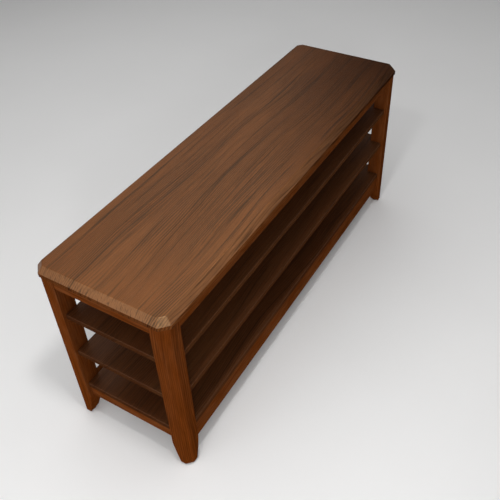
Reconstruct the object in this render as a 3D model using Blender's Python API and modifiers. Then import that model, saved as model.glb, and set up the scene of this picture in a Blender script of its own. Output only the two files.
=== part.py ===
"""A wooden shoe bench: a seat slab on four tapered legs, with three open shelves under it.

Run it with: blender --background --python part.py
Units are metres and +Z is up. +X runs along the bench, and its open front faces -Y.
The origin is on the floor, under the middle of the seat.

The two end frames are glued up first. The long aprons, the long rails and the shelves
go between them along X, on tenons and dowels. Screws through the back legs then hold
the shelves, and screws from below hold the seat.
"""

import math
from collections import namedtuple

import bmesh
import bpy
from mathutils import Matrix, Vector

# Driving dimensions of the whole bench
LENGTH = 1.200
DEPTH = 0.350
HEIGHT = 0.520

# Clearances: between pieces that touch, round a pin in its hole, and past a hole's mouth
GAP = 0.0003
HOLE_GAP = 0.0004
OVERRUN = 0.002

# Seat slab: an upright edge, then a wide bevel up to the flat top
SEAT_EDGE_HEIGHT = 0.010
SEAT_BEVEL_RISE = 0.016
SEAT_BEVEL_RUN = 0.012
SEAT_CORNER_CUT = 0.020
SEAT_UNDERSIDE = HEIGHT - SEAT_EDGE_HEIGHT - SEAT_BEVEL_RISE

# Legs: square, with a wide flat on the outer corner and both inner faces tapered at the foot
LEG_WIDTH = 0.045
LEG_INSET = 0.004
LEG_CORNER_CUT = 0.015
TAPER_HEIGHT = 0.078
TAPER_DEPTH = 0.016
TAPER_EASE = 1.25
TAPER_STEPS = (0.0, 0.2, 0.5)
GLIDE_THICKNESS = 0.0025
LEG_BOTTOM = GLIDE_THICKNESS + GAP
LEG_TOP = SEAT_UNDERSIDE - GAP
LEG_X = LENGTH / 2 - LEG_INSET - LEG_WIDTH / 2
LEG_Y = DEPTH / 2 - LEG_INSET - LEG_WIDTH / 2
LEG_INNER_X = LEG_X - LEG_WIDTH / 2
LEG_INNER_Y = LEG_Y - LEG_WIDTH / 2
LEG_BACK = LEG_Y + LEG_WIDTH / 2
LEG_INNER_CORNER = LEG_WIDTH / math.sqrt(2)

# Shelves
SHELF_TOPS = {"upper": 0.380, "middle": 0.255, "lower": 0.130}
SHELF_THICKNESS = 0.015
SHELF_INSET = 0.012
SHELF_END = LENGTH / 2 - SHELF_INSET
SHELF_FRONT = DEPTH / 2 - SHELF_INSET

# Aprons under the seat and rails near the floor, with a tenon on each end
RAIL_THICKNESS = 0.018
TENON_THICKNESS = 0.010
TENON_LENGTH = 0.018
APRON_INSET = 0.007
LOW_RAIL_INSET = 0.015
LOW_RAIL_TOP = SHELF_TOPS["lower"] - SHELF_THICKNESS - GAP
APRON_INNER_X = LENGTH / 2 - APRON_INSET - RAIL_THICKNESS
APRON_INNER_Y = DEPTH / 2 - APRON_INSET - RAIL_THICKNESS

Rail = namedtuple("Rail", "along side inset bottom top tenon_bottom tenon_top")
RAILS = {
    "apron_front": Rail("X", -1, APRON_INSET, 0.462, LEG_TOP, 0.468, 0.488),
    "apron_back": Rail("X", 1, APRON_INSET, 0.462, LEG_TOP, 0.468, 0.488),
    "apron_left": Rail("Y", -1, APRON_INSET, 0.462, LEG_TOP, 0.468, 0.488),
    "apron_right": Rail("Y", 1, APRON_INSET, 0.462, LEG_TOP, 0.468, 0.488),
    "rail_front": Rail("X", -1, LOW_RAIL_INSET, 0.056, LOW_RAIL_TOP, 0.064, 0.107),
    "rail_back": Rail("X", 1, LOW_RAIL_INSET, 0.056, 0.100, 0.064, 0.092),
    "rail_left": Rail("Y", -1, LOW_RAIL_INSET, 0.079, LOW_RAIL_TOP, 0.087, 0.107),
    "rail_right": Rail("Y", 1, LOW_RAIL_INSET, 0.079, LOW_RAIL_TOP, 0.087, 0.107),
}

# Cross bar and corner blocks under the seat
BRACE_WIDTH = 0.025
BRACE_BOTTOM = 0.466
BRACE_TENON_WIDTH = 0.012
BRACE_TENON_LENGTH = 0.010
BRACE_TENON_BOTTOM = 0.472
BRACE_TENON_TOP = 0.488
BLOCK_WIDTH = 0.022
BLOCK_BOTTOM = 0.466
BLOCK_TO_LEG = 0.002
BLOCK_ROUGH_LENGTH = 0.200
BLOCK_NEAR = LEG_INNER_CORNER + BLOCK_TO_LEG
BLOCK_FAR = BLOCK_NEAR + BLOCK_WIDTH

# Rounding of the wood's edges
SEAT_ROUNDING = 0.0015
LEG_ROUNDING = 0.002
RAIL_ROUNDING = 0.002
SHELF_ROUNDING = 0.0015

# Dowels between the shelves and the front legs
DOWEL_RADIUS = 0.004
DOWEL_LENGTH = 0.036
DOWEL_CHAMFER = 0.001
DOWEL_Y = -(LEG_INNER_Y + SHELF_FRONT) / 2

# Screws through the back legs into the shelves, and the caps over them
SHELF_SCREW_X = (LEG_INNER_X + SHELF_END) / 2
SHELF_SCREW_RADIUS = 0.0028
SHELF_SCREW_HEAD = 0.0048
SHELF_SCREW_LENGTH = 0.066
SHELF_SCREW_RECESS = 0.002
CAP_RADIUS = 0.0065
CAP_HEIGHT = 0.0015

# Screws up into the seat
SEAT_SCREW_RADIUS = 0.002
SEAT_SCREW_HEAD = 0.004
SEAT_SCREW_LENGTH = 0.038
SEAT_SCREW_START = 0.468
BRACE_SCREW_Y = 0.060
BLOCK_SCREW_OFFSET = 0.020
SCREW_HEAD_HEIGHT = 0.0015

# Hanger bolts through the corner blocks into the legs, with flanged nuts
BOLT_RADIUS = 0.003
BOLT_HEIGHT = 0.480
BOLT_IN_LEG = 0.024
BOLT_LENGTH = 0.059
NUT_RADIUS = 0.0058
NUT_THICKNESS = 0.006
FLANGE_RADIUS = 0.008
FLANGE_THICKNESS = 0.0015

# Glides nailed under the feet
GLIDE_RADIUS = 0.010
GLIDE_CHAMFER = 0.001
GLIDE_OFFSET = 0.005
GLIDE_PIN_RADIUS = 0.0015
GLIDE_PIN_LENGTH = 0.014

ROUND_SIDES = 12
SMALL_SIDES = 8

# The four corners: the signs of X and Y, and the turn from the front left one
CORNERS = {
    "front_left": (-1, -1, 0),
    "front_right": (1, -1, 90),
    "back_right": (1, 1, 180),
    "back_left": (-1, 1, 270),
}

ALONG_X = Matrix.Rotation(math.radians(90), 4, "Y")
ALONG_PLUS_Y = Matrix.Rotation(math.radians(-90), 4, "X")
ALONG_MINUS_Y = Matrix.Rotation(math.radians(90), 4, "X")
TO_DIAGONAL = Matrix.Rotation(math.radians(45), 4, "Z")


# Scene, collections and materials

def clear_scene():
    for old in list(bpy.data.objects):
        bpy.data.objects.remove(old, do_unlink=True)


def add_collection(name):
    collection = bpy.data.collections.new(name)
    bpy.context.scene.collection.children.link(collection)
    return collection


def add_material(name, colour, roughness, metallic=0.0):
    material = bpy.data.materials.new(name)
    material.use_nodes = True
    shader = material.node_tree.nodes["Principled BSDF"]
    shader.inputs["Base Color"].default_value = (*colour, 1.0)
    shader.inputs["Roughness"].default_value = roughness
    shader.inputs["Metallic"].default_value = metallic
    material.diffuse_color = (*colour, 1.0)
    return material


clear_scene()
bench = add_collection("shoe_bench")
cutters = add_collection("cutters")

origin = bpy.data.objects.new("bench_origin", None)
bench.objects.link(origin)

SEAT_WOOD = add_material("walnut_seat", (0.235, 0.125, 0.066), 0.38)
FRAME_WOOD = add_material("walnut_frame", (0.190, 0.083, 0.031), 0.42)
SHELF_WOOD = add_material("walnut_shelf", (0.120, 0.060, 0.032), 0.45)
PLAIN_WOOD = add_material("beech", (0.560, 0.380, 0.210), 0.60)
STEEL = add_material("zinc_steel", (0.560, 0.570, 0.580), 0.30, 1.0)
PLASTIC = add_material("brown_plastic", (0.070, 0.035, 0.018), 0.50)


# Making pieces and cutters

def to_mesh(shape, name):
    """Turn a bmesh into a mesh whose faces point out."""
    bmesh.ops.recalc_face_normals(shape, faces=shape.faces)
    mesh = bpy.data.meshes.new(name)
    shape.to_mesh(mesh)
    shape.free()
    return mesh


def add_piece(name, mesh, material, place=Matrix()):
    """Add a mesh as a named piece of the bench."""
    if material.name not in mesh.materials:
        mesh.materials.append(material)
    piece = bpy.data.objects.new(name, mesh)
    piece.location = place.translation
    piece.rotation_euler = place.to_euler()
    piece.parent = origin
    bench.objects.link(piece)
    return piece


def add_cutter(name, shape, place=Matrix()):
    """Add a bmesh as a shape that Boolean modifiers read."""
    cutter = bpy.data.objects.new(name, to_mesh(shape, name))
    cutter.location = place.translation
    cutter.rotation_euler = place.to_euler()
    cutter.hide_render = True
    cutter.display_type = "WIRE"
    cutters.objects.link(cutter)
    return cutter


def combine(piece, operand, operation):
    boolean = piece.modifiers.new(operand.name, "BOOLEAN")
    boolean.operation = operation
    boolean.solver = "EXACT"
    boolean.object = operand


def cut(piece, *tools):
    for tool in tools:
        combine(piece, tool, "DIFFERENCE")


def soften(piece, width):
    """Round a piece's sharp edges."""
    bevel = piece.modifiers.new("soften", "BEVEL")
    bevel.width = width
    bevel.segments = 2
    bevel.limit_method = "ANGLE"
    bevel.angle_limit = math.radians(30)


def add_box(shape, low, high):
    """Add a box between two opposite corners to a bmesh."""
    low = Vector(low)
    high = Vector(high)
    place = Matrix.Translation((low + high) / 2) @ Matrix.Diagonal((*(high - low), 1))
    bmesh.ops.create_cube(shape, size=1, matrix=place)


def turned(profile, sides=ROUND_SIDES):
    """Spin a profile of (radius, height) points round Z into a closed solid."""
    shape = bmesh.new()
    points = [shape.verts.new((radius, 0, height)) for radius, height in profile]
    for first, second in zip(points, points[1:]):
        shape.edges.new((first, second))
    bmesh.ops.spin(shape, geom=shape.verts[:] + shape.edges[:], cent=(0, 0, 0),
                   axis=(0, 0, 1), angle=math.tau, steps=sides)
    bmesh.ops.remove_doubles(shape, verts=shape.verts, dist=GAP / 10)
    return shape


def turned_mesh(name, profile, sides=ROUND_SIDES):
    mesh = to_mesh(turned(profile, sides), name)
    mesh.shade_smooth()
    mesh.set_sharp_from_angle(angle=math.radians(40))
    return mesh


def hole_cutter(name, profile, places, sides=ROUND_SIDES):
    """A cutter that is the same turned hole at each of several places."""
    pattern = to_mesh(turned(profile, sides), "hole")
    shape = bmesh.new()
    for place in places.values():
        first_new = len(shape.verts)
        shape.from_mesh(pattern)
        shape.verts.ensure_lookup_table()
        bmesh.ops.transform(shape, matrix=place, verts=shape.verts[first_new:])
    bpy.data.meshes.remove(pattern)
    return add_cutter(name, shape)


def add_copies(prefix, mesh, material, places):
    """Add the same mesh at each named place, each copy as its own piece."""
    return {label: add_piece(prefix + "_" + label, mesh, material, place)
            for label, place in places.items()}


# Profiles of turned pieces and of the holes for them

def pin_profile(radius, length, chamfer):
    return [(0, 0), (radius - chamfer, 0), (radius, chamfer), (radius, length - chamfer),
            (radius - chamfer, length), (0, length)]


def hole_profile(radius, length):
    """A plain hole that is a little wider and longer than its pin."""
    wide = radius + HOLE_GAP
    return [(0, -HOLE_GAP), (wide, -HOLE_GAP), (wide, length + HOLE_GAP), (0, length + HOLE_GAP)]


def screw_profile(shank, head, length):
    """A countersunk screw, from the flat of its head to its tip."""
    return [(0, 0), (head, 0), (head, SCREW_HEAD_HEIGHT), (shank, SCREW_HEAD_HEIGHT + head - shank),
            (shank, length - shank), (0, length)]


def screw_hole_profile(shank, head, length, lead):
    """A countersunk hole whose mouth starts a lead before the screw's head."""
    shoulder = SCREW_HEAD_HEIGHT + HOLE_GAP
    return [(0, -lead), (head + HOLE_GAP, -lead), (head + HOLE_GAP, shoulder),
            (shank + HOLE_GAP, shoulder + head - shank), (shank + HOLE_GAP, length + HOLE_GAP),
            (0, length + HOLE_GAP)]


# Places

def corner_place(corner):
    """The frame of a leg: its outer corner points to its own -X and -Y."""
    side_x, side_y, turn = CORNERS[corner]
    place = Matrix.Translation((side_x * LEG_X, side_y * LEG_Y, 0))
    return place @ Matrix.Rotation(math.radians(turn), 4, "Z")


def diagonal_places(reach, height):
    """Frames on the legs' diagonals, reach from a leg's middle, aimed at the bench's middle."""
    along = TO_DIAGONAL @ Matrix.Translation((reach, 0, height)) @ ALONG_X
    return {corner: corner_place(corner) @ along for corner in CORNERS}


def foot_places():
    outward = Matrix.Translation((-GLIDE_OFFSET, -GLIDE_OFFSET, 0))
    return {corner: corner_place(corner) @ outward for corner in CORNERS}


def shelf_end_places(x, y, aim):
    """Frames at both ends of each shelf, at the middle of the board's thickness."""
    places = {}
    for level, top in SHELF_TOPS.items():
        for label, side in (("left", -1), ("right", 1)):
            point = (side * x, y, top - SHELF_THICKNESS / 2)
            places[level + "_" + label] = Matrix.Translation(point) @ aim
    return places


def dowel_places():
    to_start = Matrix.Translation((0, 0, -DOWEL_LENGTH / 2))
    return shelf_end_places(LEG_INNER_X, DOWEL_Y, ALONG_X @ to_start)


def seat_screw_places():
    """A screw through each corner block, beside its bolt, and two through the cross bar."""
    beside = TO_DIAGONAL @ Matrix.Translation(((BLOCK_NEAR + BLOCK_FAR) / 2, BLOCK_SCREW_OFFSET,
                                               SEAT_SCREW_START))
    places = {corner: corner_place(corner) @ beside for corner in CORNERS}
    for label, side in (("brace_front", -1), ("brace_back", 1)):
        places[label] = Matrix.Translation((0, side * BRACE_SCREW_Y, SEAT_SCREW_START))
    return places


# Rails

def rail_box(rail, thickness, half_length, bottom, top):
    """Opposite corners of a box that is centred on a rail."""
    extent = DEPTH if rail.along == "X" else LENGTH
    across = rail.side * (extent / 2 - rail.inset - RAIL_THICKNESS / 2)
    low = Vector((-half_length, across - thickness / 2, bottom))
    high = Vector((half_length, across + thickness / 2, top))
    if rail.along == "Y":
        return low.yxz, high.yxz
    return low, high


def rail_reach(rail):
    """Half the clear distance between the legs that a rail joins."""
    return LEG_INNER_X if rail.along == "X" else LEG_INNER_Y


def build_rail(name, rail):
    """A rail whose tenons are the two ends of one slimmer bar through it."""
    body = bmesh.new()
    add_box(body, *rail_box(rail, RAIL_THICKNESS, rail_reach(rail) - GAP, rail.bottom, rail.top))
    piece = add_piece(name, to_mesh(body, name), FRAME_WOOD)
    soften(piece, RAIL_ROUNDING)
    core = bmesh.new()
    add_box(core, *rail_box(rail, TENON_THICKNESS, rail_reach(rail) + TENON_LENGTH,
                            rail.tenon_bottom, rail.tenon_top))
    combine(piece, add_cutter(name + "_tenons", core), "UNION")
    return piece


def mortise_cutter():
    """The mortises of every rail, each pair as one long bar through two legs."""
    shape = bmesh.new()
    for rail in RAILS.values():
        add_box(shape, *rail_box(rail, TENON_THICKNESS + 2 * GAP, rail_reach(rail) + TENON_LENGTH + GAP,
                                 rail.tenon_bottom - GAP, rail.tenon_top + GAP))
    return add_cutter("mortises", shape)


# Seat, legs, shelves and the pieces under the seat

def build_seat():
    shape = bmesh.new()
    add_box(shape, (-LENGTH / 2, -DEPTH / 2, SEAT_UNDERSIDE),
            (LENGTH / 2, DEPTH / 2, SEAT_UNDERSIDE + SEAT_EDGE_HEIGHT))
    upright = [edge for edge in shape.edges if edge.verts[0].co.xy == edge.verts[1].co.xy]
    bmesh.ops.bevel(shape, geom=upright, offset=SEAT_CORNER_CUT, offset_type="OFFSET",
                    segments=1, affect="EDGES")
    shape.normal_update()
    top = [face for face in shape.faces if face.normal.z > 0.9]
    bmesh.ops.inset_region(shape, faces=top, thickness=SEAT_BEVEL_RUN, depth=SEAT_BEVEL_RISE,
                           use_even_offset=True)
    seat = add_piece("seat_top", to_mesh(shape, "seat_top"), SEAT_WOOD)
    soften(seat, SEAT_ROUNDING)
    return seat


def leg_mesh():
    """A leg about its own middle, with its outer corner towards -X and -Y."""
    half = LEG_WIDTH / 2
    shape = bmesh.new()
    add_box(shape, (-half, -half, LEG_BOTTOM), (half, half, LEG_TOP))
    outer = [edge for edge in shape.edges
             if all(vert.co.x < 0 and vert.co.y < 0 for vert in edge.verts)]
    bmesh.ops.bevel(shape, geom=outer, offset=LEG_CORNER_CUT, offset_type="OFFSET",
                    segments=1, affect="EDGES")
    taper_top = LEG_BOTTOM + TAPER_HEIGHT
    for step in TAPER_STEPS:
        bmesh.ops.bisect_plane(shape, geom=shape.verts[:] + shape.edges[:] + shape.faces[:],
                               plane_co=(0, 0, taper_top - step * TAPER_HEIGHT), plane_no=(0, 0, 1))
    for vert in shape.verts:
        fall = max(0.0, taper_top - vert.co.z) / TAPER_HEIGHT
        inward = TAPER_DEPTH * fall ** TAPER_EASE
        if vert.co.x > half - GAP:
            vert.co.x -= inward
        if vert.co.y > half - GAP:
            vert.co.y -= inward
    return to_mesh(shape, "leg")


def build_shelf(name, top):
    shape = bmesh.new()
    add_box(shape, (-SHELF_END, -SHELF_FRONT, top - SHELF_THICKNESS), (SHELF_END, LEG_INNER_Y - GAP, top))
    shelf = add_piece(name, to_mesh(shape, name), SHELF_WOOD)
    soften(shelf, SHELF_ROUNDING)
    return shelf


def notch_cutter():
    """Upright bars a little larger than the front legs, for the shelves' front corners."""
    shape = bmesh.new()
    for side in (-1, 1):
        low_x, high_x = sorted((side * (LEG_INNER_X - GAP), side * LENGTH / 2))
        add_box(shape, (low_x, -DEPTH / 2, LEG_BOTTOM), (high_x, -LEG_INNER_Y + GAP, LEG_TOP))
    return add_cutter("leg_notches", shape)


def brace_core(clearance):
    """The slimmer bar whose ends are the cross bar's tenons, or its mortises when widened."""
    shape = bmesh.new()
    half = BRACE_TENON_WIDTH / 2 + clearance
    reach = APRON_INNER_Y + BRACE_TENON_LENGTH + clearance
    add_box(shape, (-half, -reach, BRACE_TENON_BOTTOM - clearance),
            (half, reach, BRACE_TENON_TOP + clearance))
    return shape


def build_brace():
    """The cross bar under the middle of the seat, tenoned into the long aprons."""
    body = bmesh.new()
    half = BRACE_WIDTH / 2
    reach = APRON_INNER_Y - GAP
    add_box(body, (-half, -reach, BRACE_BOTTOM), (half, reach, LEG_TOP))
    brace = add_piece("seat_brace", to_mesh(body, "seat_brace"), PLAIN_WOOD)
    soften(brace, RAIL_ROUNDING)
    combine(brace, add_cutter("seat_brace_tenons", brace_core(0)), "UNION")
    return brace


def corner_block_mesh():
    """A bar across a leg's diagonal, in the leg's frame, sawn off along both aprons."""
    shape = bmesh.new()
    middle = Matrix.Translation(((BLOCK_NEAR + BLOCK_FAR) / 2, 0, (BLOCK_BOTTOM + LEG_TOP) / 2))
    size = Matrix.Diagonal((BLOCK_WIDTH, BLOCK_ROUGH_LENGTH, LEG_TOP - BLOCK_BOTTOM, 1))
    bmesh.ops.create_cube(shape, size=1, matrix=TO_DIAGONAL @ middle @ size)
    saw_line = APRON_INNER_X - LEG_X - GAP
    for normal in (Vector((-1, 0, 0)), Vector((0, -1, 0))):
        sawn = bmesh.ops.bisect_plane(shape, geom=shape.verts[:] + shape.edges[:] + shape.faces[:],
                                      plane_co=normal * saw_line, plane_no=normal, clear_outer=True)
        rim = [item for item in sawn["geom_cut"] if isinstance(item, bmesh.types.BMEdge)]
        bmesh.ops.holes_fill(shape, edges=rim)
    return to_mesh(shape, "corner_block")


def build_nuts(places):
    """Hexagon nuts, each with a round flange against the block and a round bore."""
    bore = [(0, -OVERRUN), (BOLT_RADIUS + HOLE_GAP, -OVERRUN),
            (BOLT_RADIUS + HOLE_GAP, NUT_THICKNESS + OVERRUN), (0, NUT_THICKNESS + OVERRUN)]
    bores = hole_cutter("nut_bores", bore, places)
    flange = [(0, 0), (FLANGE_RADIUS, 0), (FLANGE_RADIUS, FLANGE_THICKNESS), (0, FLANGE_THICKNESS)]
    hexagon = turned_mesh("nut", pin_profile(NUT_RADIUS, NUT_THICKNESS, 2 * GAP), sides=6)
    for corner, nut in add_copies("corner_nut", hexagon, STEEL, places).items():
        combine(nut, add_cutter("nut_flange_" + corner, turned(flange), places[corner]), "UNION")
        cut(nut, bores)


# Where the fasteners are, and the holes for them

dowels = dowel_places()
shelf_screws = shelf_end_places(SHELF_SCREW_X, LEG_BACK - SHELF_SCREW_RECESS, ALONG_MINUS_Y)
caps = shelf_end_places(SHELF_SCREW_X, LEG_BACK + GAP, ALONG_PLUS_Y)
seat_screws = seat_screw_places()
bolts = diagonal_places(LEG_INNER_CORNER - BOLT_IN_LEG, BOLT_HEIGHT)
nuts = diagonal_places(BLOCK_FAR + GAP, BOLT_HEIGHT)
feet = foot_places()

mortises = mortise_cutter()
notches = notch_cutter()
brace_mortises = add_cutter("brace_mortises", brace_core(GAP))
dowel_holes = hole_cutter("dowel_holes", hole_profile(DOWEL_RADIUS, DOWEL_LENGTH), dowels)
bolt_holes = hole_cutter("bolt_holes", hole_profile(BOLT_RADIUS, BOLT_LENGTH), bolts)
pin_holes = hole_cutter("glide_pin_holes",
                        hole_profile(GLIDE_PIN_RADIUS, GLIDE_THICKNESS + GLIDE_PIN_LENGTH),
                        feet, SMALL_SIDES)
shelf_screw_holes = hole_cutter(
    "shelf_screw_holes", screw_hole_profile(SHELF_SCREW_RADIUS, SHELF_SCREW_HEAD, SHELF_SCREW_LENGTH,
                                            SHELF_SCREW_RECESS + OVERRUN), shelf_screws)
seat_screw_holes = hole_cutter(
    "seat_screw_holes", screw_hole_profile(SEAT_SCREW_RADIUS, SEAT_SCREW_HEAD, SEAT_SCREW_LENGTH,
                                           SEAT_SCREW_START - BLOCK_BOTTOM + OVERRUN),
    seat_screws, SMALL_SIDES)

# The wooden pieces

cut(build_seat(), seat_screw_holes)

leg = leg_mesh()
for corner in CORNERS:
    post = add_piece("leg_" + corner, leg, FRAME_WOOD, corner_place(corner))
    soften(post, LEG_ROUNDING)
    shelf_holes = dowel_holes if corner.startswith("front") else shelf_screw_holes
    cut(post, mortises, shelf_holes, bolt_holes, pin_holes)

for name, rail in RAILS.items():
    bar = build_rail(name, rail)
    if name in ("apron_front", "apron_back"):
        cut(bar, brace_mortises)

for name, top in SHELF_TOPS.items():
    cut(build_shelf("shelf_" + name, top), notches, dowel_holes, shelf_screw_holes)

cut(build_brace(), seat_screw_holes)

block = corner_block_mesh()
for corner in CORNERS:
    cut(add_piece("corner_block_" + corner, block, PLAIN_WOOD, corner_place(corner)),
        seat_screw_holes, bolt_holes)

# The fasteners, the caps over them and the glides under the feet

add_copies("shelf_dowel", turned_mesh("dowel", pin_profile(DOWEL_RADIUS, DOWEL_LENGTH, DOWEL_CHAMFER)),
           PLAIN_WOOD, dowels)
add_copies("shelf_screw", turned_mesh("shelf_screw", screw_profile(SHELF_SCREW_RADIUS, SHELF_SCREW_HEAD,
                                                                   SHELF_SCREW_LENGTH)),
           STEEL, shelf_screws)
add_copies("screw_cap", turned_mesh("cap", [(0, 0), (CAP_RADIUS, 0), (CAP_RADIUS, CAP_HEIGHT / 2),
                                            (CAP_RADIUS - CAP_HEIGHT, CAP_HEIGHT), (0, CAP_HEIGHT)]),
           PLASTIC, caps)
add_copies("seat_screw", turned_mesh("seat_screw", screw_profile(SEAT_SCREW_RADIUS, SEAT_SCREW_HEAD,
                                                                 SEAT_SCREW_LENGTH), SMALL_SIDES),
           STEEL, seat_screws)
add_copies("corner_bolt", turned_mesh("bolt", pin_profile(BOLT_RADIUS, BOLT_LENGTH, 2 * GAP)),
           STEEL, bolts)
build_nuts(nuts)
add_copies("foot_glide", turned_mesh("glide", [
    (0, 0), (GLIDE_RADIUS - GLIDE_CHAMFER, 0), (GLIDE_RADIUS, GLIDE_CHAMFER),
    (GLIDE_RADIUS, GLIDE_THICKNESS), (GLIDE_PIN_RADIUS, GLIDE_THICKNESS),
    (GLIDE_PIN_RADIUS, GLIDE_THICKNESS + GLIDE_PIN_LENGTH - GLIDE_PIN_RADIUS),
    (0, GLIDE_THICKNESS + GLIDE_PIN_LENGTH)]), PLASTIC, feet)
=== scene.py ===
"""The looks of the shoe bench: stained walnut with softened edges, on a pale studio floor.

Every wooden piece in view is lofted again, finer than its CAD solid and inside it, and so are
the fasteners that can be seen. The hidden ones keep their CAD shape and get a better finish.
"""

import math

import bmesh
import bpy
from mathutils import Matrix, Vector


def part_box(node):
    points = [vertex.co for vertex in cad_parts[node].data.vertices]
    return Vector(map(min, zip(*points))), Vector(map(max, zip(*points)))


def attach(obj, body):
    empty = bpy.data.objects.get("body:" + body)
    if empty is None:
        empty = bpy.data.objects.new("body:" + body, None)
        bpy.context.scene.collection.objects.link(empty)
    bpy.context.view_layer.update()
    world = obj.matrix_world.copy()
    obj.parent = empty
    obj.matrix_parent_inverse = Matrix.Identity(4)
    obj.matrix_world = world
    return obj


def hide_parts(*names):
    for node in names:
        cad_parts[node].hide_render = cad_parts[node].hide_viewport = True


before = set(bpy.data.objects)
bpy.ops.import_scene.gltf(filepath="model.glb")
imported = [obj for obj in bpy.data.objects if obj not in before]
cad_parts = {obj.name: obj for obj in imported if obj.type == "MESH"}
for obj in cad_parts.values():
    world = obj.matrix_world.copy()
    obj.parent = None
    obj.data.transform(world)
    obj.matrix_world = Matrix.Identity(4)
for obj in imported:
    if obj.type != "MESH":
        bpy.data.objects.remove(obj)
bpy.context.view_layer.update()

BODY = "root"

# Seat: the edge's upright face, the bevel above it and the clipped corners
SEAT_EDGE_HEIGHT = 0.010
SEAT_BEVEL_RUN = 0.012
SEAT_CORNER_CUT = 0.020
SEAT_CORNER_RADIUS = 0.004
SEAT_UNDER_RADIUS = 0.0012
SEAT_LOWER_RADIUS = 0.0015
SEAT_UPPER_RADIUS = 0.005

# Legs
LEG_CORNER_CUT = 0.015
LEG_CUT_RADIUS = 0.004
LEG_EDGE_RADIUS = 0.0025
LEG_TOP_RADIUS = 0.0006
FOOT_RADIUS = 0.006
TAPER_HEIGHT = 0.078
TAPER_DEPTH = 0.016
TAPER_EASE = 1.25
TAPER_LEVELS = 14

# Rails and shelf boards
RAIL_LOW_OUTER_RADIUS = 0.0055
RAIL_LOW_INNER_RADIUS = 0.002
RAIL_TOP_RADIUS = 0.001
BUTT_RADIUS = 0.0005
SHELF_RADIUS = 0.002
SHELF_CORNER_RADIUS = 0.001

# Bolts, nuts and screws under the seat
BOLT_RADIUS = 0.003
BOLT_LENGTH = 0.059
NUT_FLATS_RADIUS = 0.0058
NUT_THICKNESS = 0.006
FLANGE_RADIUS = 0.008
FLANGE_THICKNESS = 0.0015
THREAD_PITCH = 0.0010
THREAD_DEPTH = 0.0004
SEAT_SCREW_HEAD = 0.004
SEAT_SCREW_SHANK = 0.002
SEAT_SCREW_HEAD_HEIGHT = 0.0015
CROSS_WIDTH = 0.0005
CROSS_REACH = 0.0022
CROSS_DEPTH = 0.0014

# The gap between touching pieces, and how far the looks stay inside the CAD
FIT_GAP = 0.0003
SKIN = 0.00002

# Steps in each rounded arris, sides of a round piece, and the angle of a sharp edge in degrees
ARC_STEPS = 5
ROUND_SIDES = 32
SHARP_ANGLE = 35

# Each leg's side of the bench along X and Y
CORNERS = {"front_left": (-1, -1), "front_right": (1, -1), "back_left": (-1, 1), "back_right": (1, 1)}
SHELVES = ("shelf_upper", "shelf_middle", "shelf_lower")
RAILS_ALONG_X = ("apron_front", "apron_back", "rail_front", "rail_back")
RAILS_ALONG_Y = ("apron_left", "apron_right", "rail_left", "rail_right")


# Outlines

def rotated(spoke, angle):
    """A 2D vector turned anticlockwise."""
    cosine, sine = math.cos(angle), math.sin(angle)
    return Vector((spoke.x * cosine - spoke.y * sine, spoke.x * sine + spoke.y * cosine))


def rounded(corners, radii):
    """A closed 2D outline with an arc at each corner, whichever way the corner turns."""
    outline = []
    for index, corner in enumerate(corners):
        before = (corner - corners[index - 1]).normalized()
        after = (corners[(index + 1) % len(corners)] - corner).normalized()
        turn = math.atan2(before.cross(after), before.dot(after))
        start = corner - before * radii[index] * math.tan(abs(turn) / 2)
        inward = Vector((-before.y, before.x)) * math.copysign(radii[index], turn)
        for step in range(ARC_STEPS + 1):
            outline.append(start + inward + rotated(-inward, turn * step / ARC_STEPS))
    return outline


def inset(corners, distance):
    """An anticlockwise outline with every side moved inwards."""
    moved = []
    for index, corner in enumerate(corners):
        before = (corner - corners[index - 1]).normalized()
        after = (corners[(index + 1) % len(corners)] - corner).normalized()
        first = Vector((-before.y, before.x))
        second = Vector((-after.y, after.x))
        moved.append(corner + (first + second) * distance / (1 + first.dot(second)))
    return moved


def rectangle(low, high):
    return [Vector((low[0], low[1])), Vector((high[0], low[1])),
            Vector((high[0], high[1])), Vector((low[0], high[1]))]


def round_ends(start, end, start_radius, end_radius):
    """(inset, position) pairs along a bar whose two ends are rounded off."""
    stations = []
    for step in range(ARC_STEPS + 1):
        angle = math.pi / 2 * step / ARC_STEPS
        distance = start_radius * (1 - math.sin(angle))
        stations.append((distance, start + start_radius * (1 - math.cos(angle))))
    for step in range(ARC_STEPS + 1):
        angle = math.pi / 2 * step / ARC_STEPS
        distance = end_radius * (1 - math.cos(angle))
        stations.append((distance, end - end_radius * (1 - math.sin(angle))))
    return stations


# Solids

def add_mesh(name, shape):
    """Turn a bmesh into a smoothly shaded object."""
    bmesh.ops.recalc_face_normals(shape, faces=shape.faces)
    mesh = bpy.data.meshes.new(name)
    shape.to_mesh(mesh)
    shape.free()
    mesh.shade_smooth()
    mesh.set_sharp_from_angle(angle=math.radians(SHARP_ANGLE))
    piece = bpy.data.objects.new(name, mesh)
    bpy.context.scene.collection.objects.link(piece)
    weighted = piece.modifiers.new("even_shading", "WEIGHTED_NORMAL")
    weighted.keep_sharp = True
    return piece


def loft(name, loops):
    """A closed solid through a row of loops that all have the same number of points."""
    shape = bmesh.new()
    rings = [[shape.verts.new(point) for point in loop] for loop in loops]
    for lower, upper in zip(rings, rings[1:]):
        for index in range(len(lower)):
            shape.faces.new((lower[index - 1], lower[index], upper[index], upper[index - 1]))
    shape.faces.new(reversed(rings[0]))
    shape.faces.new(rings[-1])
    return add_mesh(name, shape)


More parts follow.
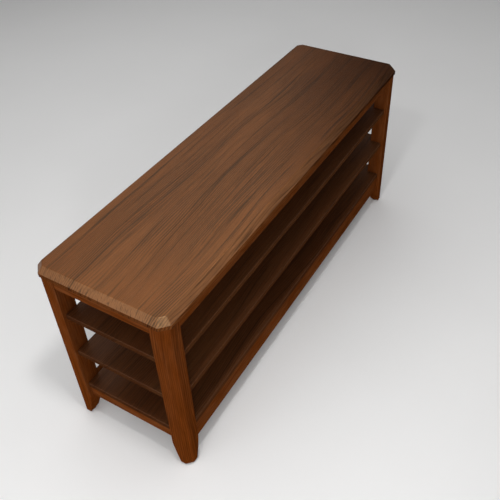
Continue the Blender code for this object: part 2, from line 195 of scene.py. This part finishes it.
def turned(name, profile, place):
    """A closed solid from a profile of (radius, height) points, put in its place."""
    shape = bmesh.new()
    points = [shape.verts.new((radius, 0, height)) for radius, height in profile]
    for first, second in zip(points, points[1:]):
        shape.edges.new((first, second))
    bmesh.ops.spin(shape, geom=shape.verts[:] + shape.edges[:], cent=(0, 0, 0),
                   axis=(0, 0, 1), angle=math.tau, steps=ROUND_SIDES)
    bmesh.ops.remove_doubles(shape, verts=shape.verts, dist=SKIN / 2)
    bmesh.ops.transform(shape, matrix=place, verts=shape.verts)
    return add_mesh(name, shape)


def bar(name, corners, radii, stations, place):
    """Loft a rounded section along a bar. place turns (2D point, station) into 3D."""
    loops = []
    for distance, position in stations:
        section = rounded(inset(corners, distance), radii)
        loops.append([place(point, position) for point in section])
    return loft(name, loops)


def upright(point, height):
    """Lift a 2D point to a height. The next two lay it across X and across Y."""
    return Vector((point.x, point.y, height))


def along_x(point, position):
    return Vector((position, point.x, point.y))


def along_y(point, position):
    return Vector((point.x, position, point.y))


def node_box(node):
    """A CAD node's box, drawn in by a hair so that the looks stay inside it."""
    low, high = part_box(node)
    hair = Vector((SKIN, SKIN, SKIN))
    return Vector(low) + hair, Vector(high) - hair


# Seat

def seat_outline(low, high):
    """The slab's outline seen from above, with its corners clipped."""
    cut = SEAT_CORNER_CUT
    return [Vector(point) for point in (
        (low.x + cut, low.y), (high.x - cut, low.y), (high.x, low.y + cut), (high.x, high.y - cut),
        (high.x - cut, high.y), (low.x + cut, high.y), (low.x, high.y - cut), (low.x, low.y + cut))]


def seat_profile(low, high):
    """(inset, height) pairs up the slab's edge, with each arris rounded."""
    middle = (high.y - low.y) / 4
    corners = [Vector((0, low.z)), Vector((0, low.z + SEAT_EDGE_HEIGHT)),
               Vector((SEAT_BEVEL_RUN, high.z)), Vector((middle, high.z)), Vector((middle, low.z))]
    radii = [SEAT_UNDER_RADIUS, SEAT_LOWER_RADIUS, SEAT_UPPER_RADIUS, 0, 0]
    arrises = rounded(corners, radii)[:3 * (ARC_STEPS + 1)]
    return [(point.x, point.y) for point in arrises]


def make_seat():
    low, high = node_box("seat_top")
    outline = seat_outline(low, high)
    radii = [SEAT_CORNER_RADIUS] * len(outline)
    return bar("seat_slab", outline, radii, seat_profile(low, high), upright)


# Legs

def taper(height, bottom):
    """How far the two inner faces have moved outwards at a height."""
    fall = max(0.0, bottom + TAPER_HEIGHT - height) / TAPER_HEIGHT
    return TAPER_DEPTH * fall ** TAPER_EASE


def leg_section(low, high, side_x, side_y, shift):
    """A leg's square section, with its outer corner cut and its inner faces shifted outwards."""
    outer = Vector((high.x if side_x > 0 else low.x, high.y if side_y > 0 else low.y))
    inner = Vector((low.x if side_x > 0 else high.x, low.y if side_y > 0 else high.y))
    inner += Vector((side_x, side_y)) * shift
    corners = [Vector((outer.x, outer.y - side_y * LEG_CORNER_CUT)), Vector((outer.x, inner.y)),
               inner, Vector((inner.x, outer.y)), Vector((outer.x - side_x * LEG_CORNER_CUT, outer.y))]
    radii = [LEG_CUT_RADIUS, LEG_EDGE_RADIUS, LEG_EDGE_RADIUS, LEG_EDGE_RADIUS, LEG_CUT_RADIUS]
    if side_x * side_y > 0:
        return corners[::-1], radii
    return corners, radii


def make_leg(corner):
    side_x, side_y = CORNERS[corner]
    low, high = node_box("leg_" + corner)
    stations = round_ends(low.z, high.z, FOOT_RADIUS, LEG_TOP_RADIUS)
    for level in range(1, TAPER_LEVELS + 1):
        height = low.z + FOOT_RADIUS + (TAPER_HEIGHT - FOOT_RADIUS) * level / TAPER_LEVELS
        stations.append((0, height))
    loops = []
    for distance, height in sorted(stations, key=lambda station: station[1]):
        corners, radii = leg_section(low, high, side_x, side_y, taper(height, low.z))
        section = rounded(inset(corners, distance), radii)
        loops.append([upright(point, height) for point in section])
    return loft("post_" + corner, loops)


# Rails

def make_rail(node):
    """A rail between its two legs, with its lower outer edge well rounded."""
    low, high = node_box(node)
    leg_low, leg_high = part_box("leg_front_right")
    if node in RAILS_ALONG_X:
        across, place, reach = 1, along_x, leg_low[0] - FIT_GAP
    else:
        across, place, reach = 0, along_y, -leg_high[1] - FIT_GAP
    corners = rectangle((low[across], low.z), (high[across], high.z))
    radii = [RAIL_LOW_OUTER_RADIUS, RAIL_LOW_INNER_RADIUS, RAIL_TOP_RADIUS, RAIL_TOP_RADIUS]
    if low[across] > 0:
        radii[0], radii[1] = radii[1], radii[0]
    stations = round_ends(-reach, reach, BUTT_RADIUS, BUTT_RADIUS)
    return bar(node + "_wood", corners, radii, stations, place)


# Shelves

def make_shelf(node):
    """A board with its two front corners notched round the legs."""
    low, high = node_box(node)
    leg_low, leg_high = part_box("leg_front_right")
    notch_x = leg_low[0] - FIT_GAP
    notch_y = leg_high[1] + FIT_GAP
    corners = [Vector(point) for point in (
        (-notch_x, low.y), (notch_x, low.y), (notch_x, notch_y), (high.x, notch_y),
        (high.x, high.y), (low.x, high.y), (low.x, notch_y), (-notch_x, notch_y))]
    radii = [SHELF_CORNER_RADIUS] * len(corners)
    stations = round_ends(low.z, high.z, SHELF_RADIUS, SHELF_RADIUS)
    return bar(node + "_board", corners, radii, stations, upright)


# Fasteners, caps and glides

def aimed(start, direction):
    """A frame at a point whose Z runs along a direction."""
    return Matrix.Translation(start) @ Vector(direction).to_track_quat("Z", "Y").to_matrix().to_4x4()


def middle_of(node):
    low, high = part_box(node)
    return (Vector(low) + Vector(high)) / 2


def diagonal(corner):
    """The level direction from a leg towards the middle of the bench."""
    side_x, side_y = CORNERS[corner]
    return Vector((-side_x, -side_y, 0)).normalized()


def threads(radius, start, end):
    """A row of thread ridges as profile points."""
    points = []
    for turn in range(int((end - start) / THREAD_PITCH)):
        root = start + turn * THREAD_PITCH
        points.append((radius - THREAD_DEPTH, root))
        points.append((radius, root + THREAD_PITCH / 2))
    return points


def make_bolt(corner):
    """A threaded hanger bolt with a rounded end."""
    tip = BOLT_RADIUS / 2
    radius = BOLT_RADIUS - SKIN
    start = middle_of("corner_bolt_" + corner) - diagonal(corner) * BOLT_LENGTH / 2
    profile = [(0, SKIN), (radius - tip, SKIN)] + threads(radius, tip, BOLT_LENGTH - tip)
    profile += [(radius - tip, BOLT_LENGTH - SKIN), (0, BOLT_LENGTH - SKIN)]
    return turned("bolt_" + corner, profile, aimed(start, diagonal(corner)))


def make_nut(corner):
    """A flanged hexagon nut, as a dished flange that runs up into six flats."""
    start = middle_of("corner_nut_" + corner) - diagonal(corner) * NUT_THICKNESS / 2
    place = aimed(start, diagonal(corner))
    bore = BOLT_RADIUS + FIT_GAP
    chamfer = 2 * FIT_GAP
    levels = ((bore, 0, 0), (FLANGE_RADIUS, 0, 0), (FLANGE_RADIUS, FLANGE_THICKNESS / 2, 0),
              (NUT_FLATS_RADIUS, FLANGE_THICKNESS, 1), (NUT_FLATS_RADIUS, NUT_THICKNESS - chamfer, 1),
              (NUT_FLATS_RADIUS - chamfer, NUT_THICKNESS, 0), (bore, NUT_THICKNESS, 0))
    shape = bmesh.new()
    rings = []
    for radius, height, hexagonal in levels:
        ring = []
        for step in range(6 * ARC_STEPS):
            angle = math.tau * step / (6 * ARC_STEPS)
            from_flat = angle % (math.tau / 6) - math.tau / 12
            reach = radius - SKIN
            if hexagonal:
                reach *= math.cos(math.tau / 12) / math.cos(from_flat)
            point = Vector((reach * math.cos(angle), reach * math.sin(angle), height))
            ring.append(shape.verts.new(place @ point))
        rings.append(ring)
    for lower, upper in zip(rings, rings[1:] + rings[:1]):
        for index in range(len(lower)):
            shape.faces.new((lower[index - 1], lower[index], upper[index], upper[index - 1]))
    return add_mesh("nut_" + corner, shape)


def make_seat_screw(node):
    """A countersunk screw with a cross recess, driven up into the seat."""
    low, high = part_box(node)
    length = high[2] - low[2] - SKIN
    neck = SEAT_SCREW_HEAD_HEIGHT + SEAT_SCREW_HEAD - SEAT_SCREW_SHANK
    rim = SKIN * 8
    profile = [(0, SKIN), (SEAT_SCREW_HEAD - SKIN - rim, SKIN), (SEAT_SCREW_HEAD - SKIN, SKIN + rim),
               (SEAT_SCREW_HEAD - SKIN, SEAT_SCREW_HEAD_HEIGHT), (SEAT_SCREW_SHANK - THREAD_DEPTH, neck)]
    profile += threads(SEAT_SCREW_SHANK - SKIN, neck + THREAD_PITCH, length - SEAT_SCREW_SHANK)
    profile.append((0, length))
    middle = middle_of(node)
    place = Matrix.Translation((middle.x, middle.y, low[2]))
    screw = turned(node.replace("seat_screw", "screw"), profile, place)
    for width, depth in ((CROSS_REACH, CROSS_WIDTH), (CROSS_WIDTH, CROSS_REACH)):
        carve_box(screw, place @ Matrix.Diagonal((2 * width, 2 * depth, 2 * CROSS_DEPTH, 1)))
    return screw


def carve_box(piece, place):
    """Cut a box, given as the place of a unit cube, out of a piece."""
    shape = bmesh.new()
    bmesh.ops.create_cube(shape, size=1, matrix=place)
    cutter = add_mesh("cutter", shape)
    cut = piece.modifiers.new("recess", "BOOLEAN")
    cut.operation = "DIFFERENCE"
    cut.object = cutter
    bpy.context.view_layer.update()
    evaluated = piece.evaluated_get(bpy.context.evaluated_depsgraph_get())
    carved = bpy.data.meshes.new_from_object(evaluated)
    piece.modifiers.clear()
    piece.data = carved
    bpy.data.objects.remove(cutter)


def make_cap(node):
    """A domed plastic cap that sits flat against the back of a leg."""
    low, high = node_box(node)
    middle = middle_of(node)
    radius = (high.x - low.x) / 2
    height = high.y - low.y
    lip = height / 4
    profile = [(0, 0), (radius, 0), (radius, lip)]
    for step in range(1, ARC_STEPS + 1):
        angle = math.pi / 2 * step / ARC_STEPS
        profile.append((radius * math.cos(angle) ** 0.5, lip + (height - lip) * math.sin(angle)))
    return turned(node + "_dome", profile, aimed((middle.x, low.y, middle.z), (0, 1, 0)))


def make_glide(node):
    """A plastic foot glide with a rounded rim and a dished middle round its nail."""
    low, high = node_box(node)
    middle = middle_of(node)
    radius = (high.x - low.x) / 2
    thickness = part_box("leg_front_left")[0][2] - low.z - FIT_GAP
    round_off = thickness / 2
    profile = [(0, thickness / 3), (radius / 4, thickness / 3), (radius / 3, 0)]
    for step in range(ARC_STEPS + 1):
        angle = math.pi / 2 * step / ARC_STEPS
        profile.append((radius - round_off * (1 - math.sin(angle)), round_off * (1 - math.cos(angle))))
    profile += [(radius, thickness), (0, thickness)]
    return turned(node + "_disc", profile, Matrix.Translation((middle.x, middle.y, low.z)))


# Materials

class Shader:
    """A material's node tree, with short calls to add and join nodes."""

    def __init__(self, name):
        self.material = bpy.data.materials.new(name)
        self.material.use_nodes = True
        self.nodes = self.material.node_tree.nodes
        self.links = self.material.node_tree.links
        self.surface = self.nodes["Principled BSDF"].inputs

    def put(self, socket, value):
        """Give an input a number or colour, or join an output to it."""
        if isinstance(value, bpy.types.NodeSocket):
            self.links.new(value, socket)
        else:
            socket.default_value = value

    def add(self, kind, **inputs):
        node = self.nodes.new("ShaderNode" + kind)
        for key, value in inputs.items():
            self.put(node.inputs[key], value)
        return node

    def position(self):
        """The point being shaded, in metres, in the bench's own frame."""
        return self.add("TexCoord").outputs["Object"]

    def math(self, operation, first, second=0.0, third=0.0):
        node = self.nodes.new("ShaderNodeMath")
        node.operation = operation
        for socket, value in zip(node.inputs, (first, second, third)):
            self.put(socket, value)
        return node.outputs[0]

    def mix(self, amount, first, second, blend="MIX"):
        """Blend two colours."""
        node = self.nodes.new("ShaderNodeMix")
        node.data_type = "RGBA"
        node.blend_type = blend
        for index, value in ((0, amount), (6, first), (7, second)):
            self.put(node.inputs[index], value)
        return node.outputs[2]

    def shade(self, colour, level):
        """Multiply a colour by a level."""
        grey = self.add("CombineColor", Red=level, Green=level, Blue=level).outputs[0]
        return self.mix(1.0, colour, grey, "MULTIPLY")

    def noise(self, place, scales, detail=2.0, roughness=0.5):
        """Noise with its own number of features a metre along each axis."""
        stretched = self.add("Mapping", Vector=place, Scale=scales).outputs[0]
        return self.add("TexNoise", Vector=stretched, Scale=1.0, Detail=detail,
                        Roughness=roughness).outputs[0]

    def curve(self, value, *stops):
        """Read a level off a curve of (position, level) stops."""
        node = self.nodes.new("ShaderNodeValToRGB")
        elements = node.color_ramp.elements
        while len(elements) < len(stops):
            elements.new(0.5)
        for element, (position, level) in zip(elements, stops):
            element.position = position
            element.color = (level, level, level, 1)
        self.put(node.inputs[0], value)
        return node.outputs[0]

    def relief(self, height, distance):
        """Bumps whose full height is a distance in metres."""
        bump = self.add("Bump", Height=height, Distance=distance, Strength=1.0)
        self.put(self.surface["Normal"], bump.outputs[0])


def rgb(red, green, blue):
    return (red, green, blue, 1)


# How far the grain wanders and how deep it is, in metres, how strong the painted sheen on the bevels is,
# and how much darker the end grain is stained
SWAY = 0.080
GRAIN_RELIEF = 0.00025
BEVEL_SHEEN = 0.55
END_GRAIN_STAIN = 0.28


def grain_position(shader, axis, through):
    """The shaded point with X along the grain. through slows the figure's change in depth."""
    turns = {"X": (0, 0, 0), "Y": (0, 0, -math.pi / 2), "Z": (0, math.pi / 2, 0)}
    turned_place = shader.add("Mapping", Vector=shader.position(), Rotation=turns[axis]).outputs[0]
    return shader.add("Mapping", Vector=turned_place, Scale=(1, 1, through)).outputs[0]


def sway_aside(shader, place):
    """The point moved slowly from side to side, so that lines along the grain wander."""
    sway = shader.math("SUBTRACT", shader.noise(place, (1.5, 7, 7), detail=1.5), 0.5)
    aside = shader.math("MULTIPLY", sway, SWAY)
    move = shader.add("CombineXYZ", X=0.0, Y=aside, Z=0.0).outputs[0]
    moved = shader.nodes.new("ShaderNodeVectorMath")
    shader.put(moved.inputs[0], place)
    shader.put(moved.inputs[1], move)
    return moved.outputs[0]


def walnut(name, axis, tones, figure=1.0, through=1.0, roughness=0.38, specular=0.5,
           sheen=(1, 1, 1), far_shade_strength=0.0, paling=0.3):
    """Stained walnut: growth lines in clusters, veins, streaks, fibres, pores and drifting tone.

    tones are the pale, ruddy and deep colours, and sheen tints the gloss. figure is the strength
    of the dark marks, far_shade_strength that of the painted shade towards the far front corner, and
    paling that of the edges paled by wear, which also paints highlights along the arrises, and of the
    painted sheen on the bevels.
    """
    shader = Shader(name)
    pale, ruddy, deep = tones
    place = grain_position(shader, axis, through)
    swayed = sway_aside(shader, place)
    parts = shader.add("SeparateXYZ", Vector=swayed).outputs

    # Growth lines about 5 mm apart, and a vein every eighth line
    ripple = shader.noise(place, (8, 70, 70))
    count = shader.math("MULTIPLY", parts["Z"], 150.0)
    count = shader.math("MULTIPLY_ADD", parts["Y"], 190.0, count)
    count = shader.math("MULTIPLY_ADD", ripple, 1.1, count)
    lines = shader.math("FRACT", count)
    lines = shader.curve(lines, (0.0, 0.5), (0.20, 0.0), (0.55, 0.1), (0.88, 1.0), (1.0, 0.5))
    clusters = shader.curve(shader.noise(place, (1.9, 12, 12)), (0.42, 0.15), (0.60, 1.0))
    lines = shader.math("MULTIPLY", lines, clusters)
    veins = shader.math("FRACT", shader.math("MULTIPLY", count, 0.13))
    veins = shader.curve(veins, (0.86, 0.0), (0.95, 1.0), (1.0, 0.2))
    broken = shader.curve(shader.noise(place, (4, 26, 26)), (0.44, 0.0), (0.58, 1.0))
    veins = shader.math("MULTIPLY", veins, broken)

    # Finer marks, from the longest to the shortest, and a slow drift between two tones
    streaks = shader.noise(swayed, (3, 250, 250), detail=2.5)
    streaks = shader.curve(streaks, (0.30, 1.0), (0.46, 0.0))
    fibres = shader.noise(swayed, (20, 520, 520))
    pores = shader.noise(swayed, (70, 1500, 1500), detail=1.0)
    pores = shader.curve(pores, (0.26, 1.0), (0.38, 0.0))
    drift = shader.curve(shader.noise(swayed, (1.3, 14, 14)), (0.30, 0.0), (0.70, 1.0))

    # Edges come out paler from handling, which also paints highlights along the arrises, and sloped
    # bevels get a painted sheen; the dark marks lie over that
    geometry = shader.add("NewGeometry").outputs
    facing = shader.add("SeparateXYZ", Vector=geometry["Normal"]).outputs
    wear_and_sheen = shader.curve(geometry["Pointiness"], (0.51, 0.0), (0.58, 1.0))
    patchy = shader.curve(shader.noise(place, (18, 60, 60)), (0.35, 0.2), (0.65, 1.0))
    wear_and_sheen = shader.math("MULTIPLY", wear_and_sheen, patchy)
    bevel = shader.curve(facing["Z"], (0.40, 0), (0.52, BEVEL_SHEEN), (0.80, BEVEL_SHEEN), (0.92, 0))
    wear_and_sheen = shader.math("MAXIMUM", wear_and_sheen, bevel)
    tone = shader.mix(drift, pale, ruddy)
    tone = shader.mix(shader.math("MULTIPLY", wear_and_sheen, paling), tone, PALE_WEAR_AND_SHEEN)
    for marks, weight in ((lines, 0.85), (veins, 0.80), (streaks, 0.65), (pores, 0.45)):
        tone = shader.mix(shader.math("MULTIPLY", marks, weight * figure), tone, deep)
    tone = shader.shade(tone, shader.math("MULTIPLY_ADD", fibres, 0.9, 0.57))

    # End grain drinks more stain
    end_grain = shader.curve(shader.math("ABSOLUTE", facing[axis]), (0.86, 0.0), (0.98, 1.0))
    tone = shader.mix(shader.math("MULTIPLY", end_grain, END_GRAIN_STAIN), tone, deep)

    # Painted shade: darker towards the far end and the front side, standing in for light that falls off
    # there
    painted_far_shade = shader.math("MULTIPLY_ADD", parts["Y"], -1.9, parts["X"])
    painted_far_shade = shader.curve(painted_far_shade, (0.10, 0.0), (0.85, 1.0))
    tone = shader.mix(shader.math("MULTIPLY", painted_far_shade, far_shade_strength), tone, deep)
    shader.put(shader.surface["Base Color"], tone)

    # The lacquer is a little duller over the streaks, and smudged by use
    smudges = shader.noise(place, (5, 17, 17), detail=3.0)
    gloss = shader.math("MULTIPLY_ADD", smudges, 0.14, roughness - 0.07)
    gloss = shader.math("MULTIPLY_ADD", streaks, 0.06, gloss)
    shader.put(shader.surface["Roughness"], gloss)
    if specular:
        # Only faces that look up are polished by use, and the gloss is turned down under the painted far
        # shade
        polish = shader.curve(facing["Z"], (0.25, 0.0), (0.60, 1.0))
        lively = shader.math("MULTIPLY_ADD", painted_far_shade, -0.9 * far_shade_strength, 1.0)
        polish = shader.math("MULTIPLY", polish, lively)
        specular = shader.math("MULTIPLY", polish, specular)
    shader.put(shader.surface["Specular IOR Level"], specular)
    shader.put(shader.surface["Specular Tint"], rgb(*sheen))

    height = shader.math("MULTIPLY_ADD", pores, -0.6, shader.math("MULTIPLY", streaks, -0.4))
    height = shader.math("MULTIPLY_ADD", fibres, 0.25, height)
    shader.relief(height, GRAIN_RELIEF)
    return shader.material


def beech():
    """Planed, unfinished beech: pale, with short fine flecks and a few saw marks."""
    shader = Shader("plain_beech")
    place = shader.position()
    flecks = shader.noise(place, (300, 60, 300), detail=3.0)
    clouds = shader.noise(place, (12, 9, 12))
    tone = shader.mix(clouds, rgb(0.60, 0.40, 0.22), rgb(0.50, 0.32, 0.17))
    tone = shader.mix(shader.curve(flecks, (0.30, 0.6), (0.48, 0.0)), tone, rgb(0.34, 0.19, 0.09))
    shader.put(shader.surface["Base Color"], tone)
    shader.put(shader.surface["Roughness"], shader.math("MULTIPLY_ADD", flecks, 0.15, 0.55))
    shader.relief(flecks, 0.0002)
    return shader.material


def zinc():
    """Zinc-plated steel with a faint yellowish mottle and rubbed patches."""
    shader = Shader("zinc_plate")
    place = shader.position()
    spangle = shader.noise(place, (700, 700, 700), detail=3.0)
    clouds = shader.noise(place, (90, 90, 90))
    tone = shader.mix(clouds, rgb(0.58, 0.59, 0.61), rgb(0.52, 0.50, 0.44))
    tone = shader.shade(tone, shader.math("MULTIPLY_ADD", spangle, 0.3, 0.82))
    shader.put(shader.surface["Base Color"], tone)
    shader.put(shader.surface["Metallic"], 1.0)
    shader.put(shader.surface["Roughness"], shader.math("MULTIPLY_ADD", clouds, 0.20, 0.22))
    shader.relief(spangle, 0.00004)
    return shader.material


def brown_plastic():
    """Moulded brown plastic with a fine matt grain and faint scuffs."""
    shader = Shader("moulded_plastic")
    place = shader.position()
    grain = shader.noise(place, (2200, 2200, 2200), detail=1.0)
    scuffs = shader.curve(shader.noise(place, (160, 400, 160), detail=3.0), (0.55, 0.0), (0.75, 1.0))
    paling = shader.math("MULTIPLY", scuffs, 0.4)
    tone = shader.mix(paling, rgb(0.085, 0.036, 0.015), rgb(0.16, 0.085, 0.045))
    tone = shader.shade(tone, shader.math("MULTIPLY_ADD", grain, 0.3, 0.85))
    shader.put(shader.surface["Base Color"], tone)
    shader.put(shader.surface["Roughness"], shader.math("MULTIPLY_ADD", scuffs, 0.2, 0.42))
    shader.put(shader.surface["Specular IOR Level"], 0.3)
    shader.relief(grain, 0.00005)
    return shader.material


# Pale colour of edges paled by wear, also used for the painted highlights on the arrises and the painted
# sheen on the bevels
PALE_WEAR_AND_SHEEN = rgb(0.42, 0.22, 0.11)
# The seat's tones are paler and less saturated than the frame's, which paints in part of the sheen on
# its top
SEAT_TONES_WITH_SHEEN = (rgb(0.156, 0.049, 0.012), rgb(0.126, 0.035, 0.007), rgb(0.022, 0.007, 0.003))
FRAME_TONES = (rgb(0.150, 0.037, 0.006), rgb(0.122, 0.027, 0.003), rgb(0.034, 0.008, 0.002))
SHELF_TONES = (rgb(0.092, 0.034, 0.012), rgb(0.070, 0.022, 0.007), rgb(0.018, 0.006, 0.003))


# The stage: floor, lights and camera

FLOOR_SIZE = 7.6
WORLD_LIGHT = 0.05
WORLD_LOOK = 0.75


def make_floor():
    bpy.ops.mesh.primitive_plane_add(size=FLOOR_SIZE)
    floor = bpy.context.object
    floor.name = "studio_floor"
    shader = Shader("pale_floor")
    mottle = shader.noise(shader.position(), (3, 3, 3))
    tone = shader.mix(mottle, rgb(0.90, 0.895, 0.89), rgb(0.93, 0.925, 0.92))
    shader.put(shader.surface["Base Color"], tone)
    shader.put(shader.surface["Roughness"], 0.7)
    shader.put(shader.surface["Specular IOR Level"], 0.2)
    floor.data.materials.append(shader.material)


def add_panel(name, place, target, size, radiance):
    """A softbox of a given brightness at a place, aimed at a target."""
    light = bpy.data.lights.new(name, "AREA")
    light.shape = "RECTANGLE"
    light.size, light.size_y = size
    light.energy = radiance * math.pi * size[0] * size[1]
    lamp = bpy.data.objects.new(name, light)
    lamp.location = place
    lamp.rotation_euler = (Vector(target) - Vector(place)).to_track_quat("-Z", "Y").to_euler()
    lamp.visible_camera = False
    bpy.context.scene.collection.objects.link(lamp)


def make_surroundings():
    """A world that looks pale to the camera, but adds only a little light."""
    world = bpy.data.worlds.new("studio")
    world.use_nodes = True
    nodes = world.node_tree.nodes
    seen = nodes.new("ShaderNodeLightPath").outputs["Is Camera Ray"]
    strength = nodes.new("ShaderNodeMapRange")
    strength.inputs["To Min"].default_value = WORLD_LIGHT
    strength.inputs["To Max"].default_value = WORLD_LOOK
    world.node_tree.links.new(seen, strength.inputs["Value"])
    background = nodes["Background"].inputs
    background["Color"].default_value = rgb(1, 1, 1)
    world.node_tree.links.new(strength.outputs["Result"], background["Strength"])
    return world


def make_lights():
    bpy.context.scene.world = make_surroundings()
    add_panel("key", (-0.62, -0.25, 1.50), (-0.62, -0.25, 0.5), (0.14, 0.14), 93)
    add_panel("ceiling", (-0.5, -0.3, 3.4), (-0.5, -0.3, 0), (7, 6), 0.82)
    add_panel("window", (-3.1, -0.3, 1.35), (-0.6, 0, 0.45), (4.6, 2.4), 1.2)
    add_panel("corner_lamp", (-2.32, -1.56, 1.73), (-0.59, -0.165, 0.51), (0.3, 0.3), 36)
    add_panel("back_panel", (1.12, 1.72, 2.15), (0, 0, 0.5), (3.3, 1.9), 0.35)


def make_camera():
    """A camera above the front left corner, looking down along the bench."""
    lens = bpy.data.cameras.new("camera")
    lens.sensor_width = 36
    lens.lens = 46.33
    lens.shift_x = -0.0298
    lens.shift_y = -0.0550
    camera = bpy.data.objects.new("camera", lens)
    heading, tilt, roll = (math.radians(angle) for angle in (31.10, 40.32, 1.82))
    turn = (Matrix.Rotation(heading - math.pi / 2, 4, "Z") @ Matrix.Rotation(math.pi / 2 - tilt, 4, "X")
            @ Matrix.Rotation(-roll, 4, "Z"))
    camera.matrix_world = Matrix.Translation((-1.1776, -0.7494, 1.4397)) @ turn
    bpy.context.scene.collection.objects.link(camera)
    bpy.context.scene.camera = camera


# The bench

def stand_for(piece, node, material):
    """Finish a piece, and show it in place of a CAD node."""
    piece.data.materials.append(material)
    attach(piece, BODY)
    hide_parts(node)


def refinish(prefix, material):
    """Give the CAD nodes whose names start with a prefix a better finish."""
    for name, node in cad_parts.items():
        if name.startswith(prefix):
            for place in node.material_slots:
                place.material = material


def make_wood():
    # The seat gets a painted shade towards its far front corner, and edges and bevels paled partly by
    # wear and partly as painted sheen and highlights
    seat = walnut("walnut_seat", "X", SEAT_TONES_WITH_SHEEN, through=0.35, sheen=(1, 0.85, 0.5), far_shade_strength=0.8,
                  paling=0.45)
    rail = {axis: walnut("walnut_rail_" + axis, axis, FRAME_TONES, figure=0.6, specular=0,
                         sheen=(1, 0.45, 0.2)) for axis in "XY"}
    leg = walnut("walnut_leg", "Z", FRAME_TONES, figure=0.6, specular=0, sheen=(1, 0.45, 0.2))
    shelf = walnut("walnut_shelf", "X", SHELF_TONES, figure=0.7, specular=0.3, sheen=(1, 0.6, 0.4),
                   paling=0)
    stand_for(make_seat(), "seat_top", seat)
    for corner in CORNERS:
        stand_for(make_leg(corner), "leg_" + corner, leg)
    for node in RAILS_ALONG_X:
        stand_for(make_rail(node), node, rail["X"])
    for node in RAILS_ALONG_Y:
        stand_for(make_rail(node), node, rail["Y"])
    for node in SHELVES:
        stand_for(make_shelf(node), node, shelf)


def make_fasteners():
    steel = zinc()
    plastic = brown_plastic()
    plain = beech()
    for corner in CORNERS:
        stand_for(make_bolt(corner), "corner_bolt_" + corner, steel)
        stand_for(make_nut(corner), "corner_nut_" + corner, steel)
    for node in list(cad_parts):
        if node.startswith("seat_screw"):
            stand_for(make_seat_screw(node), node, steel)
        elif node.startswith("screw_cap"):
            stand_for(make_cap(node), node, plastic)
        elif node.startswith("foot_glide"):
            stand_for(make_glide(node), node, plastic)
    refinish("shelf_screw", steel)
    for prefix in ("seat_brace", "corner_block", "shelf_dowel"):
        refinish(prefix, plain)


make_camera()
make_lights()
make_floor()
bpy.context.scene.view_settings.view_transform = "Standard"
make_wood()
make_fasteners()

bpy.context.view_layer.update()
